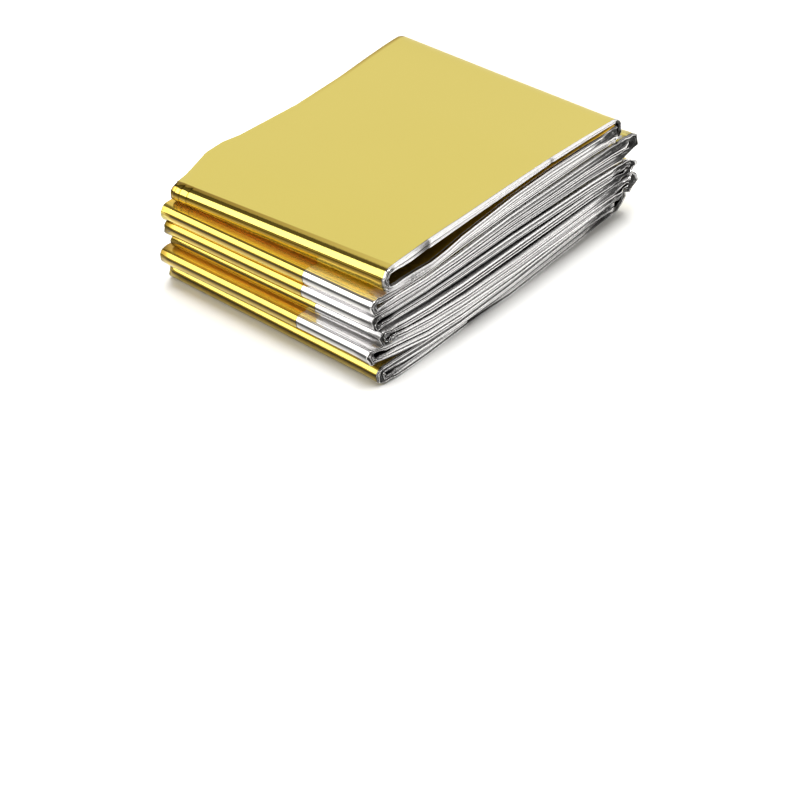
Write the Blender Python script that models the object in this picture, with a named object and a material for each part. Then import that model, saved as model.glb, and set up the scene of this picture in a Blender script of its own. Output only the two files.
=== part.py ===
"""Emergency foil blanket, folded flat as it comes out of its pouch.

A film sheet is pleated into a narrow strip, and the strip is then folded back and forth into
twelve layers. This file models the strip as one band that runs through the twelve layers.

Metres, +Z up. X runs along the layers: the noses, where the strip turns at the neat end, are at
-X, and the tails, where it turns at the ragged end, are at +X. The pleats' silver folds face the
front, -Y, and their gold folds face the back, +Y. The blanket rests on z = 0.
"""

import math
from collections import namedtuple

import bmesh
import bpy

MM = 0.001

# Driving sizes, in millimetres
STRIP_WIDTH = 89.0       # the sheet's 2.1 m, pleated 23.6 times
BAND = 2.4               # thickness of the pleated strip where it is pressed flat
MIDDLE_X = 63.34         # from the first nose to the middle of the pack
MIDDLE_Y = -1.99         # from the strip's centre line to the middle of the pack

# How finely the band is divided
RUN_STEPS = 11           # along a flat layer
TURN_STEPS = 7           # around a nose or a tail
WIDTH_STEPS = 14         # from the front edge to the back edge

# The height of each layer's middle above the rest, in millimetres, along the front and the back
# edge, at five places from the noses to the tails
Layer = namedtuple("Layer", "front back")
PLACES = (0.0, 0.18, 0.40, 0.70, 1.0)
LAYERS = {
    1: Layer((40.7, 41.0, 40.7, 40.1, 38.1), (37.3, 37.4, 37.0, 36.3, 35.4)),
    2: Layer((34.3, 32.7, 36.1, 37.2, 35.3), (33.4, 34.0, 33.8, 33.2, 32.3)),
    3: Layer((31.4, 30.0, 32.6, 33.7, 31.9), (30.3, 30.7, 30.5, 29.9, 29.1)),
    4: Layer((28.5, 27.3, 29.2, 30.1, 28.9), (27.0, 27.4, 27.3, 26.7, 26.0)),
    5: Layer((25.5, 24.2, 25.8, 26.6, 24.8), (24.1, 24.1, 23.9, 23.4, 22.9)),
    6: Layer((22.5, 21.0, 22.3, 22.9, 21.6), (21.1, 20.9, 20.6, 20.2, 19.7)),
    7: Layer((19.6, 17.8, 18.8, 19.3, 18.6), (18.4, 17.9, 17.4, 17.0, 16.5)),
    8: Layer((16.7, 14.6, 15.3, 15.7, 15.6), (15.6, 14.6, 14.0, 13.6, 13.4)),
    9: Layer((13.9, 11.4, 11.8, 12.2, 12.6), (12.9, 11.5, 10.8, 10.5, 10.4)),
    10: Layer((11.1, 8.2, 8.4, 8.6, 9.6), (10.0, 8.3, 7.6, 7.4, 7.4)),
    11: Layer((4.7, 4.6, 4.8, 5.0, 5.2), (4.6, 4.6, 4.5, 4.5, 4.4)),
    12: Layer((BAND / 2,) * 5, (BAND / 2,) * 5),
}

# Each turn of the strip: how far its outside reaches along X at the front and the back edge,
# how far it has slid along Y, its length as a share of its half height, and its waviness
Turn = namedtuple("Turn", "front back slide length wave")
TURNS = {
    "nose_1": Turn(0.7, -0.4, -2.7, 1.10, 0.05),
    "nose_2": Turn(-4.4, -3.3, -1.7, 1.25, 0.10),
    "nose_3": Turn(-4.2, -2.3, -1.7, 1.20, 0.12),
    "nose_4": Turn(-2.4, -0.1, -2.6, 1.15, 0.15),
    "nose_5": Turn(-6.4, -3.3, -0.1, 1.30, 0.15),
    "nose_6": Turn(-2.2, 1.6, 0.2, 1.20, 0.08),
    "tail_1": Turn(124.2, 124.6, -1.8, 1.00, 0.10),
    "tail_2": Turn(131.7, 129.4, -3.4, 1.60, 0.45),
    "tail_3": Turn(128.3, 127.3, -4.2, 1.50, 0.50),
    "tail_4": Turn(128.6, 128.2, -4.8, 1.50, 0.50),
    "tail_5": Turn(128.6, 123.4, -1.9, 1.00, 0.30),
}
NOSE, TAIL = -1, 1       # the side of the pack that a turn is on, which is its sign along X

# The two free ends of the strip lie inside the first and the last tail
FREE_ENDS = {
    2: Turn(117.6, 117.4, -3.4, 1.0, 0.3),
    11: Turn(116.4, 115.2, 0.6, 1.0, 0.3),
}

# The way the strip runs, from one free end to the other
ROUTE = (
    (2, "nose_1"), (1, "tail_1"), (3, "nose_2"), (4, "tail_2"), (5, "nose_3"), (6, "tail_3"),
    (7, "nose_4"), (8, "tail_4"), (9, "nose_5"), (10, "tail_5"), (12, "nose_6"), (11, None),
)

# Places where a layer's edge bulges out of the pack: where it does so along X, over what
# length, and how far at the front and at the back
Bulge = namedtuple("Bulge", "layer at spread front back")
BULGES = (
    Bulge(1, 4.0, 8.0, 0.0, -0.9),
    Bulge(1, 26.5, 13.0, 0.0, 3.7),
    Bulge(1, 120.0, 30.0, 0.0, 2.9),
    Bulge(3, 70.0, 30.0, 0.4, 1.4),
    Bulge(4, 40.0, 25.0, 0.8, 0.6),
    Bulge(6, 95.0, 24.0, 0.3, 1.8),
    Bulge(8, 50.0, 30.0, 0.6, 1.5),
    Bulge(9, 85.0, 22.0, 0.4, 0.4),
    Bulge(10, 30.0, 20.0, 0.2, 1.6),
    Bulge(5, 40.0, 60.0, 0.7, 0.0),
    Bulge(6, 40.0, 60.0, 1.2, 0.0),
    Bulge(7, 40.0, 60.0, 2.1, 0.0),
    Bulge(8, 40.0, 60.0, 2.8, 0.0),
    Bulge(9, 40.0, 60.0, 3.6, 0.0),
    Bulge(10, 40.0, 60.0, 4.6, 0.0),
    Bulge(11, 40.0, 60.0, 5.0, 0.0),
    Bulge(12, 10.0, 36.0, 4.4, 0.6),
    Bulge(12, 78.0, 30.0, 3.8, 0.0),
    Bulge(12, 122.0, 28.0, -2.6, 0.9),
)


def between(front, back, across):
    """A value between the front edge, across = -1, and the back edge, across = 1."""
    return front + (back - front) * (across + 1) / 2


def turn_side(name):
    """Whether a turn is a nose or a tail."""
    return TAIL if name.startswith("tail") else NOSE


def smooth(values, along):
    """A height on the smooth line through the values at the five places."""
    last = len(PLACES) - 1
    index = max(number for number in range(last) if PLACES[number] <= max(0.0, along))
    slopes = []
    for number in (index, index + 1):
        before, after = max(number - 1, 0), min(number + 1, last)
        slopes.append((values[after] - values[before]) / (PLACES[after] - PLACES[before]))
    step = PLACES[index + 1] - PLACES[index]
    share = (along - PLACES[index]) / step
    rise = (values[index + 1] - values[index]) * share ** 2 * (3 - 2 * share)
    bend = share * (1 - share) * ((1 - share) * slopes[0] - share * slopes[1]) * step
    return values[index] + rise + bend


def layer_height(layer, along, across):
    """Height of a layer's middle, from along = 0 at the noses to 1 at the tails."""
    row = LAYERS[layer]
    return between(smooth(row.front, along), smooth(row.back, along), across)


def turn_reach(row, across):
    """How far along X a turn's outside reaches, with its waves."""
    waves = math.sin(7.3 * across + row.slide) + 0.6 * math.sin(13.1 * across + 2 * row.slide)
    return between(row.front, row.back, across) + row.wave * waves


def turn_centre(name, upper, lower, across):
    """Centre along X, centre height and half height of a turn of the strip's middle."""
    side = turn_side(name)
    along = (side + 1) / 2
    high = layer_height(upper, along, across)
    low = layer_height(lower, along, across)
    half = (high - low) / 2
    row = TURNS[name]
    centre = turn_reach(row, across) - side * row.length * (half + BAND / 2)
    return centre, (high + low) / 2, half


def bulge(layer, x, across):
    """How far a layer's edge stands out along Y at x."""
    out = 0.0
    for row in BULGES:
        if row.layer == layer:
            bell = math.exp(-((x - row.at) / row.spread) ** 2)
            edge = -row.front if across < 0 else row.back
            out += edge * bell * across ** 2
    return out


def run_end(layer, name, neighbour, across):
    """Where a layer's flat run ends along X, and its slide there."""
    if name is None:
        row = FREE_ENDS[layer]
        return turn_reach(row, across), row.slide
    upper, lower = min(layer, neighbour), max(layer, neighbour)
    return turn_centre(name, upper, lower, across)[0], TURNS[name].slide


class Run:
    """One flat layer of the strip, from the turn before it to the turn after it."""

    steps = RUN_STEPS

    def __init__(self, index):
        self.layer, self.after = ROUTE[index]
        self.heading = TAIL if index % 2 else NOSE
        self.before, self.previous, self.following = None, None, None
        if index > 0:
            self.previous, self.before = ROUTE[index - 1]
        if index + 1 < len(ROUTE):
            self.following = ROUTE[index + 1][0]

    def place(self, share, across, face):
        """A point of the run: share along it, across its width, on its face -1 or 1."""
        start, slide_in = run_end(self.layer, self.before, self.previous, across)
        end, slide_out = run_end(self.layer, self.after, self.following, across)
        x = start + (end - start) * share
        along = share if self.heading == TAIL else 1 - share
        height = layer_height(self.layer, along, across)
        slide = slide_in + (slide_out - slide_in) * share
        y = across * STRIP_WIDTH / 2 + slide + bulge(self.layer, x, across)
        return x, y, height + self.heading * face * BAND / 2


class Bend:
    """One turn of the strip, a nose or a tail, between two layers."""

    steps = TURN_STEPS

    def __init__(self, index):
        self.first, self.name = ROUTE[index]
        self.second = ROUTE[index + 1][0]
        self.side = turn_side(self.name)
        self.down = 1 if self.first < self.second else -1
        self.outside = self.side * self.down

    def place(self, share, across, face):
        """A point of the turn, as Run.place gives one. All its plies share one centre."""
        upper, lower = min(self.first, self.second), max(self.first, self.second)
        centre, middle, half = turn_centre(self.name, upper, lower, across)
        row = TURNS[self.name]
        radius = half + self.outside * face * BAND / 2
        angle = math.pi * share
        x = centre + self.side * row.length * radius * math.sin(angle)
        z = middle + self.down * radius * math.cos(angle)
        y = across * STRIP_WIDTH / 2 + row.slide
        edge = bulge(self.first, x, across) * (1 - share) + bulge(self.second, x, across) * share
        return x, y + edge, z


def stretches():
    """The strip's runs and bends, in order from one free end to the other."""
    pieces = []
    for index in range(len(ROUTE)):
        pieces.append(Run(index))
        if ROUTE[index][1] is not None:
            pieces.append(Bend(index))
    return pieces


def stations():
    """Where the band has a row of points: a stretch, and the share of it that is passed."""
    rows = []
    pieces = stretches()
    for piece in pieces:
        for step in range(piece.steps):
            rows.append((piece, step / piece.steps))
    rows.append((pieces[-1], 1.0))
    return rows


def foil_material():
    """Gold-coloured metal film."""
    material = bpy.data.materials.new("gold_film")
    material.use_nodes = True
    shader = material.node_tree.nodes["Principled BSDF"]
    shader.inputs["Base Color"].default_value = (0.71, 0.59, 0.14, 1.0)
    shader.inputs["Metallic"].default_value = 1.0
    shader.inputs["Roughness"].default_value = 0.22
    material.diffuse_color = (0.71, 0.59, 0.14, 1.0)
    return material


def foil_blanket():
    """The folded blanket: a flat band, given its thickness and then folded along the route."""
    rows = stations()
    shape = bmesh.new()
    bmesh.ops.create_grid(shape, x_segments=len(rows) - 1, y_segments=WIDTH_STEPS, size=1.0)
    raised = bmesh.ops.extrude_face_region(shape, geom=shape.faces[:])
    upper = [item for item in raised["geom"] if isinstance(item, bmesh.types.BMVert)]
    bmesh.ops.translate(shape, verts=upper, vec=(0.0, 0.0, 1.0))
    for corner in shape.verts:
        piece, share = rows[round((corner.co.x + 1) / 2 * (len(rows) - 1))]
        face = 1 if corner.co.z > 0.5 else -1
        x, y, z = piece.place(share, corner.co.y, face)
        corner.co = ((x - MIDDLE_X) * MM, (y - MIDDLE_Y) * MM, z * MM)
    bmesh.ops.triangulate(shape, faces=shape.faces[:])
    bmesh.ops.recalc_face_normals(shape, faces=shape.faces[:])
    mesh = bpy.data.meshes.new("foil_blanket")
    shape.to_mesh(mesh)
    shape.free()
    mesh.materials.append(foil_material())
    blanket = bpy.data.objects.new("foil_blanket", mesh)
    bpy.context.scene.collection.objects.link(blanket)
    return blanket


def main():
    for item in list(bpy.data.objects):
        bpy.data.objects.remove(item, do_unlink=True)
    foil_blanket()


main()
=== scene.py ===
"""Emergency foil blanket, folded flat: the film itself, with its pleats, folds and creases.

The film is one thin sheet, gold on one side and silver on the other. It is pleated across its
width into a narrow strip, and the strip is folded back and forth into twelve layers, as the
solid of the frame has them. Metres, +Z up; tables are in millimetres.
"""

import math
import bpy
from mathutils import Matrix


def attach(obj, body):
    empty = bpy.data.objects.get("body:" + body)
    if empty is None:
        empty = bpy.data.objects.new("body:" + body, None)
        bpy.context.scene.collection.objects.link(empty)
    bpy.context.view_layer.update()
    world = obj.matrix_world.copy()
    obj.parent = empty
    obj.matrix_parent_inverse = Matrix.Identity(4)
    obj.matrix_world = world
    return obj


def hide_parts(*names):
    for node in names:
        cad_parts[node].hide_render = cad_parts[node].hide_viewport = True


bl_info = {
    "name": "Folded foil blanket",
    "version": (1, 0, 0),
    "blender": (4, 5, 0),
    "location": "3D View > Sidebar > Foil blanket",
    "description": "Makes a folded foil blanket from its film, and a studio stage for it",
    "category": "Object",
}

from collections import namedtuple

import bmesh
import bpy
from mathutils import Vector, noise

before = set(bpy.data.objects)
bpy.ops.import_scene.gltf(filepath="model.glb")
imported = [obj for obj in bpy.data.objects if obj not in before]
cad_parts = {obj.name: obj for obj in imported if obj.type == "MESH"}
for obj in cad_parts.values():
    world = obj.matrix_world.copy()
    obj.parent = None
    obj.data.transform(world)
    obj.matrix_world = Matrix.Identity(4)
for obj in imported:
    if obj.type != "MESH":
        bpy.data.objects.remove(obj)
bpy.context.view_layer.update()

MM = 0.001

# ---------------------------------------------------------------- the folded strip

MIDDLE_X = 63.34         # from the first nose to the middle of the pack
MIDDLE_Y = -1.99         # from the strip's centre line to the middle of the pack
PLIES = 24               # pleats of film across the strip; the last is a part of one

# The film's sizes in millimetres: the strip's width, the thickness of its pressed pleats, and
# the thickness of the film as it is drawn, which is more than the real one
Film = namedtuple("Film", "width band thickness")

# The height of each layer's middle above the rest along the front and the back edge, at five
# places from the noses to the tails
Layer = namedtuple("Layer", "front back")
PLACES = (0.0, 0.18, 0.40, 0.70, 1.0)
LAYERS = {
    1: Layer((40.7, 41.0, 40.7, 40.1, 38.1), (37.3, 37.4, 37.0, 36.3, 35.4)),
    2: Layer((34.3, 33.4, 36.1, 37.2, 36.3), (33.4, 34.0, 33.8, 33.2, 32.3)),
    3: Layer((31.4, 30.6, 32.6, 33.7, 32.6), (30.3, 30.7, 30.5, 29.9, 29.1)),
    4: Layer((28.5, 27.9, 29.2, 30.1, 29.9), (27.0, 27.4, 27.3, 26.7, 26.0)),
    5: Layer((25.5, 25.0, 25.8, 26.6, 25.2), (24.1, 24.1, 23.9, 23.4, 22.9)),
    6: Layer((22.5, 21.9, 22.3, 22.9, 21.6), (21.1, 20.9, 20.6, 20.2, 19.7)),
    7: Layer((19.6, 18.6, 18.8, 19.3, 18.6), (18.4, 17.9, 17.4, 17.0, 16.5)),
    8: Layer((16.7, 15.2, 15.3, 15.7, 15.6), (15.6, 14.6, 14.0, 13.6, 13.4)),
    9: Layer((13.9, 11.8, 11.8, 12.2, 12.6), (12.9, 11.5, 10.8, 10.5, 10.4)),
    10: Layer((11.1, 8.4, 8.4, 8.6, 9.6), (10.0, 8.3, 7.6, 7.4, 7.4)),
    11: Layer((4.7, 4.6, 4.8, 5.0, 5.2), (4.6, 4.6, 4.5, 4.5, 4.4)),
    12: Layer((1.9, 1.5, 1.4, 1.4, 1.4), (1.4,) * 5),
}

# Each turn of the strip: how far its outside reaches along X at the front and the back edge,
# how far it has slid along Y, its length as a share of its half height, and its waviness
Turn = namedtuple("Turn", "front back slide length wave")
TURNS = {
    "nose_1": Turn(0.7, -0.4, -2.7, 1.10, 0.05),
    "nose_2": Turn(-4.4, -3.3, -1.7, 1.25, 0.10),
    "nose_3": Turn(-4.2, -2.3, -1.7, 1.20, 0.12),
    "nose_4": Turn(-2.4, -0.1, -2.6, 1.15, 0.15),
    "nose_5": Turn(-6.4, -3.3, -0.1, 1.30, 0.15),
    "nose_6": Turn(-2.2, 1.6, 0.2, 1.20, 0.08),
    "tail_1": Turn(124.2, 124.6, -1.8, 1.00, 0.10),
    "tail_2": Turn(131.7, 129.4, -3.4, 1.60, 0.45),
    "tail_3": Turn(128.3, 127.3, -4.2, 1.50, 0.50),
    "tail_4": Turn(128.6, 128.2, -4.8, 1.50, 0.50),
    "tail_5": Turn(128.6, 123.4, -1.9, 1.00, 0.30),
}
NOSE, TAIL = -1, 1

# Places across the strip, from the front edge to the back one, where every ply has a column of
# points. The pleats begin to spread at the second
KNOTS = (-1.0, -0.86, 0.1, 0.9, 1.0)
FAN_FROM = KNOTS[1]

# The two waves of a turn's edge across the strip: how fast each swings, how strong it is, and
# how much the turn's slide shifts it
Wave = namedtuple("Wave", "swing strength shift")
WAVES = (Wave(7.3, 1.0, 1), Wave(13.1, 0.6, 2))

# The two free ends of the strip lie inside the first and the last tail, where their pleats fan
# out: over what length they do so, and by how much of the strip's thickness
FREE_ENDS = {
    2: Turn(119.6, 118.0, -3.4, 1.0, 0.3),
    11: Turn(123.6, 118.6, 0.6, 1.0, 0.3),
}
FAN_LENGTH = 6.0
FAN = {2: 0.30, 11: 0.45}

# The way the strip runs, from one free end to the other
ROUTE = (
    (2, "nose_1"), (1, "tail_1"), (3, "nose_2"), (4, "tail_2"), (5, "nose_3"), (6, "tail_3"),
    (7, "nose_4"), (8, "tail_4"), (9, "nose_5"), (10, "tail_5"), (12, "nose_6"), (11, None),
)

# Places where a layer's edge bulges out of the pack: where it does so along X, over what
# length, and how far at the front and at the back
Bulge = namedtuple("Bulge", "layer at spread front back")
BULGES = (
    Bulge(1, 4.0, 8.0, 0.0, -0.9),
    Bulge(1, 26.5, 13.0, 0.0, 3.7),
    Bulge(1, 120.0, 30.0, 0.0, 2.9),
    Bulge(2, 22.0, 13.0, 0.7, 0.0),
    Bulge(3, 70.0, 30.0, 0.4, 1.4),
    Bulge(4, 40.0, 25.0, 0.8, 0.6),
    Bulge(6, 95.0, 24.0, 0.3, 1.8),
    Bulge(8, 50.0, 30.0, 0.6, 1.5),
    Bulge(9, 85.0, 22.0, 0.4, 0.4),
    Bulge(10, 30.0, 20.0, 0.2, 1.6),
    Bulge(12, 10.0, 36.0, 3.8, 0.6),
    Bulge(12, 78.0, 30.0, 2.0, 0.0),
    Bulge(12, 122.0, 28.0, -2.6, 0.9),
    *(
        Bulge(layer, 40.0, 60.0, front, 0.0)
        for layer, front in enumerate((0.7, 1.2, 2.1, 2.8, 3.6, 4.2, 4.3), 5)
    ),
)

# How much of the pleats' thickness is pinched away in a turn, at the front edge, in the middle
# and at the back edge; the inside of the turn opens by as much
Pinch = namedtuple("Pinch", "front middle back")
PINCHES = {
    "nose_1": Pinch(0.30, 0.10, 0.30),
    "nose_2": Pinch(0.26, 0.15, 0.36),
    "nose_3": Pinch(0.22, 0.15, 0.36),
    "nose_4": Pinch(0.22, 0.15, 0.36),
    "nose_5": Pinch(0.20, 0.15, 0.36),
    "nose_6": Pinch(0.02, 0.15, 0.30),
    "tail_1": Pinch(0.62, 0.10, 0.30),
    "tail_2": Pinch(0.15, 0.15, 0.40),
    "tail_3": Pinch(0.15, 0.15, 0.40),
    "tail_4": Pinch(0.15, 0.15, 0.40),
    "tail_5": Pinch(0.10, 0.15, 0.40),
}
PINCH_WIDTH = 7.0        # how far in from an edge a pinch reaches
PINCH_LENGTH = 4.5       # how far it reaches along the layers beside the turn
LONG_PINCHES = {(1, "tail_1"): 60.0}

# Places where the folded film is crushed: their middle, how far they reach along X, Y and Z,
# how far the film is pushed there, and the size of the crumples
Crush = namedtuple("Crush", "x y z long wide high push grain")
CRUSHES = (
    Crush(121.0, -47.0, 33.5, 7.0, 5.0, 2.6, 0.8, 2.4),
    Crush(127.0, -48.4, 27.0, 8.0, 3.0, 4.0, 1.4, 2.4),
    Crush(124.0, -48.5, 20.0, 8.0, 3.4, 4.0, 1.7, 2.2),
    Crush(123.0, -49.5, 13.5, 8.0, 3.4, 4.0, 1.7, 2.2),
    Crush(122.0, -46.0, 5.0, 8.0, 3.4, 4.0, 1.4, 2.4),
    Crush(124.0, 42.0, 17.0, 8.0, 6.0, 11.0, 0.9, 3.2),
    Crush(1.0, -47.6, 37.0, 2.8, 1.8, 4.5, 1.0, 1.3),
    Crush(-1.0, -47.4, 30.0, 5.0, 2.2, 3.0, 1.1, 1.5),
    Crush(-1.0, -47.4, 24.0, 5.0, 2.2, 3.0, 1.1, 1.5),
    Crush(1.0, -48.8, 18.0, 6.0, 2.4, 3.0, 1.3, 1.5),
    Crush(-3.0, -48.0, 12.0, 5.0, 2.2, 3.0, 1.2, 1.5),
    Crush(2.0, -48.6, 3.0, 6.0, 2.4, 3.4, 1.2, 1.5),
    Crush(17.0, -47.5, 33.4, 5.5, 2.4, 1.6, 0.5, 1.6),
    *(
        Crush(x, y, z, 4.0, 1.8, 2.6, push, 2.2)
        for x, y, z, push in (
            (0.0, 42.0, 35.4, 0.5), (-2.0, 43.0, 28.7, 0.7), (-1.0, 43.0, 22.6, 0.7),
            (0.0, 42.0, 17.0, 0.7), (-2.0, 44.6, 11.5, 0.7), (2.0, 44.8, 3.4, 0.6),
        )
    ),
)

CRUMPLES = 3             # which of the noise's many draws of crumples is used
CRUSH_REACH = 6.0        # how far a crush is felt, as the square of its distance in reaches
ALONG_Y = 0.7            # how fast crumples change along Y, as a share of along X and Z

# The gaps between the noses, where a glow is painted on the gold film: their middle along X,
# their height at the front and the back, how far they reach along X and Z, how much reflection of
# the gold above it is painted on their silver film, and how dull it is
Gap = namedtuple("Gap", "x front back long high warm dull")
GAPS = (
    Gap(6.5, 32.9, 31.8, 6.5, 1.8, 1.6, 0.85),
    Gap(-0.5, 26.9, 25.5, 2.5, 0.5, 0.0, 0.0),
    Gap(0.5, 21.1, 19.8, 2.5, 0.5, 0.0, 0.3),
    Gap(3.0, 15.3, 14.2, 5.0, 1.3, 0.0, 1.0),
    Gap(4.0, 7.9, 7.3, 7.0, 1.6, 0.3, 0.6),
)

# Where the strip has rows of points: the distances from a turn, the places along X between
# them, those that only some layers have, and the number of steps round a tail
NEAR_TURN = (0.0, 1.8, 4.4, 8.5)
ROWS_AT = (22.0, 38.0, 64.0, 104.0)
MORE_ROWS_AT = {1: (31.0, 84.0), 2: (30.0, 84.0)}
TAIL_STEPS = {"tail_1": 8}
USUAL_TAIL_STEPS = 6

# The painted shade along the crease beside the first nose: its width, and how dark it is at the
# front edge, as a share of how dark it is at the back
CREASE_WIDTH = 0.45
CREASE_FRONT = 0.2

# A nose's rows: how far round it each one is, in degrees, how far out and how high it stands
# where the nose is pressed into a flat top and two creases, how dark the shade painted along its
# crease is there, and how dark it is on the first nose
Crook = namedtuple("Crook", "angle out high dark first")
NOSE_SHAPE = (
    Crook(14.0, 0.30, 0.995, 0.0, 0.70),
    Crook(27.0, 0.55, 0.968, 0.2, 0.30),
    Crook(33.0, 0.64, 0.925, 0.5, 0.25),
    Crook(41.0, 0.73, 0.850, 0.0, 0.0),
    Crook(62.0, 0.95, 0.510, 0.15, 0.0),
    Crook(75.0, 1.00, 0.370, 1.0, 1.0),
    Crook(84.0, 0.985, 0.220, 1.0, 0.8),
    Crook(112.0, 0.90, -0.400, 0.0, 0.0),
    Crook(135.0, 0.72, -0.780, 0.4, 0.6),
    Crook(156.0, 0.40, -0.960, 0.0, 0.0),
)

# How far each nose is pressed from a round turn into that shape, at the front and the back
PRESSED = {"nose_1": (0.85, 0.10), "nose_6": (0.90, 0.80)}
USUALLY_PRESSED = (1.00, 0.90)

# The section of one fold of the film: how deep each point lies under the fold's tip, in
# millimetres, and how far it stands off the fold's middle, in shares of a ply
FRONT_SECTION = ((0.60, 0.5), (0.13, 0.86), (0.02, 0.42), (0.02, -0.42), (0.13, -0.86),
                 (0.60, -0.5))
BACK_SECTION = ((0.14, 0.5), (0.02, 0.46), (0.02, -0.46), (0.14, -0.5))
# No painted crease shade falls on a fold's tip
FOLD_TIP = 0.5           # how deep the tip of a fold reaches, which no crease darkens
EDGE_STRIP = 1.2         # from the film's first edge to the next column of points

# How the pleats spread at a layer's front edge. Around the first layer and under the last they
# do so by a share of their stack. Elsewhere they fill the room to the next layer by a factor, up
# to the most they may, which is reached at a share of the layer's length from the noses
FRONT_FAN = 0.16
FILLED = 1.04
MOST_SPREAD = 1.5
SPREADS_BY = 0.12

# How far the folds stand back from the strip's edge in millimetres: the outermost of a layer,
# and those that lie deepest; and about how many folds lie together, either in or out
ROUNDING = 0.18
SCATTER = 0.50
FOLDS_TOGETHER = 1.7

# The raggedness of the film's own two edges, before its first fold and after its last: how deep
# it is, the length of its waves, and the slice of the noise that it reads
Ragged = namedtuple("Ragged", "depth length slice")
RAGGED = {0: Ragged(0.25, 9.0, (4.0, 2.0)), PLIES: Ragged(0.6, 14.0, (9.0, 2.0))}

# Those two edges at each turn and free end: how far the first stops short of the strip's front
# edge, in millimetres, and how much of the strip's width the last ply covers
Edges = namedtuple("Edges", "first last")
EDGES = {
    "start": Edges(2.6, 0.985), "nose_1": Edges(1.1, 0.985), "tail_1": Edges(1.1, 0.98),
    "nose_2": Edges(0.9, 0.676), "tail_2": Edges(1.3, 0.67), "nose_3": Edges(4.6, 0.665),
    "tail_3": Edges(4.4, 0.68), "nose_4": Edges(4.8, 0.695), "tail_4": Edges(1.3, 0.69),
    "nose_5": Edges(4.6, 0.665), "tail_5": Edges(4.2, 0.67), "nose_6": Edges(0.9, 0.68),
    "end": Edges(3.0, 0.67),
}

# Crimps pressed across the outer ply of a nose, past which it stands higher or lower: where each
# lies across the strip, and its height
CRIMPED_TURN = "nose_1"
CRIMPS = {0.837: 0.09, 0.908: 0.08, 0.951: -0.12}
CRIMP_LENGTH = 9.0       # how far along the film a crimp runs
NEAR_MIDDLE = 0.1        # it lies about the last row that is this near the turn's middle
CRIMP_STEP = 0.35        # how wide a crimp's step is
# Painted shade where the outer ply is bent along a crimp
CRIMP_PAINTED_LIGHT = 0.35        # how bright the film is where it is bent

# Where the plies have columns of points between their folds
USUAL_COLUMNS = KNOTS[1:-1]
COLUMNS = {
    1: (-0.86, -0.45, 0.10, 0.50, 0.74, 0.80, 0.829, 0.837, 0.845, 0.875, 0.90, 0.908, 0.916,
        0.943, 0.951, 0.96),
    PLIES - 1: (-0.86, -0.60, -0.30, 0.10, 0.90),
    PLIES: (0.10, 0.50, 0.90),
}

# Kinks in the front edge of a layer, each with rows of points of its own: where it lies along X,
# and how deep it is. Shade is painted on the film in it, darker by a share for each millimetre,
# up to the most
Kink = namedtuple("Kink", "layer x depth")
KINKS = (Kink(1, 22.9, 0.5), Kink(1, 86.5, 0.4), Kink(12, 43.0, 0.6))
KINK_LENGTH = 0.7
KINK_SHADE = 2
MOST_KINK_SHADE = 0.85

# The dark, crumpled ends of the layers at the front of the tails: from where to where along X
# the inner folds of each layer shrink back
FLAPS = {
    2: (108.0, 124.0), 4: (110.0, 127.0), 5: (119.0, 133.0), 6: (116.0, 127.0),
    7: (113.0, 129.5), 8: (110.0, 124.0), 9: (114.0, 128.0), 10: (115.0, 125.0),
    11: (108.0, 123.0), 12: (110.0, 124.0),
}
FLAP_DEPTH = 0.6         # how far the folds shrink back there, in millimetres
FLAP_HEIGHT = 0.86       # how much of a layer's half height shrinks back
FLAP_EDGE = 0.15         # over what share of it this fades
TAIL_SKIN = 0.28         # how deep a tail's outer folds reach, which don't shrink back
TAIL_EDGE = 0.10         # over what depth they begin to
# Painted highlight on the rim of a shrunken part, and painted shade in its middle
FLAP_RIM = 4             # how much brighter the rim of a shrunken part is
FLAP_SHADE = 0.4         # how much darker its middle is

# How bright the folds are painted, 0 to 1, as painted shade and highlight: the usual one, and
# how much groups of folds and single folds differ from it
PaintedFoldLight = namedtuple("PaintedFoldLight", "usual groups singles")
PAINTED_FOLD_LIGHT = PaintedFoldLight(0.60, 2.2, 1.8)
FIRST_LAYER_PAINTED_LIGHT = PaintedFoldLight(0.98, 0.0, 2.2)
DARKEST_FOLD = 0.12
# Painted highlight on a layer's upper folds, and painted shade on its lowest
UPWARDS = 0.25           # how much brighter a layer's upper folds are
LOWEST = -0.8            # below this height in the layer, -1 to 1, they are darker still,
LOWEST_SHADE = 0.5       # and by this much

# The noise behind that painted light: over what length of film groups and single folds change,
# how far apart single folds are in it, where the back's folds lie, and the slice for each
GROUP_LENGTH = 300.0
SINGLE_LENGTH = 160.0
SINGLE_STEP = 1.37
BACK_FOLDS = 80.0
GROUP_SLICE = 1.7
SINGLE_SLICE = 7.1

# How much light the film gets inside the noses, 0 to 1: from how many plies deep on it is dark,
# and its light there; at the front edge the mean, the least and how it shimmers
NOSE_SKIN = 2.5
NOSE_DARK = 0.05
NOSE_EDGE = 0.85
LEAST_NOSE_EDGE = 0.08
SHIMMER = 3
SHIMMER_STEP = (0.93, 5, 0.5)

# And inside the layers: in the wedge under the first one it grows from the nose to the tail, and
# the film is marked deep in a gap, with its painted glow; elsewhere it fades into the nose's
# mouth, over a share of the layer's length
WEDGE_DARK = 0.10
WEDGE_GROWTH = 1.2
WEDGE_DEEP = 0.8
MOUTH_SHADE = 0.95
MOUTH_LENGTH = 0.04


def between(front, back, across):
    """A value between the front edge, across = -1, and the back edge, across = 1."""
    return front + (back - front) * (across + 1) / 2


def bell(distance, spread):
    """A smooth bump, 1 in its middle."""
    return math.exp(-((distance / spread) ** 2))


def ramp(value, start, length):
    """Rises from 0 at the start to 1 a length further on."""
    return min(1.0, max(0.0, (value - start) / length))


def turn_side(name):
    """Whether a turn is a nose or a tail."""
    return TAIL if name.startswith("tail") else NOSE


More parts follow.
